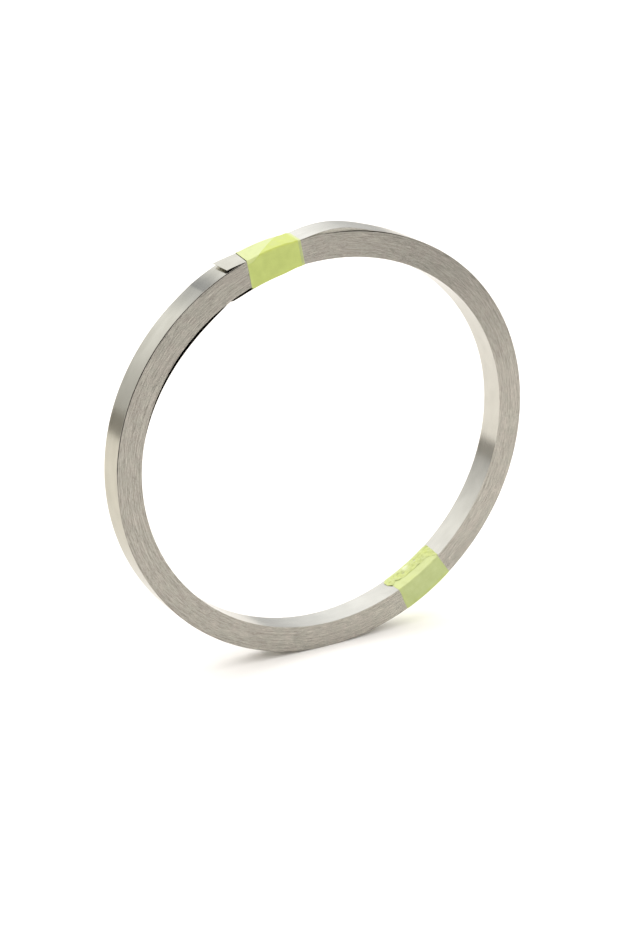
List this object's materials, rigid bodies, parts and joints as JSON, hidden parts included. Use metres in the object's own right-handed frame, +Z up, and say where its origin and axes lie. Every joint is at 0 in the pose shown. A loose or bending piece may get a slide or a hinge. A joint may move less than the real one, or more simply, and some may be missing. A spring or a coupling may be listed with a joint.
{
  "type": "roll of nickel strip",
  "caption": "Thin flat nickel strip wound into a narrow ring with an open bore, standing on its rim and held by short wraps of masking tape.",
  "frame": {"origin": "on the floor under the middle of the roll, at the centre of the box's underside", "axes": "+Y along the roll's axis, away from the end that the picture shows; +Z up; +X to the right in the picture"},
  "size_m": [0.1318, 0.0086, 0.1243],
  "materials": {
    "nickel": "satin rolled nickel, bright on the rim and fine-lined on the wound ends",
    "masking_tape": "thin yellow-green crepe masking tape, slightly see-through"
  },
  "bodies": {
    "root": {"nickel_strip": "nickel", "tape_band_upper": "masking_tape", "tape_band_lower": "masking_tape"}
  },
  "joints": []
}
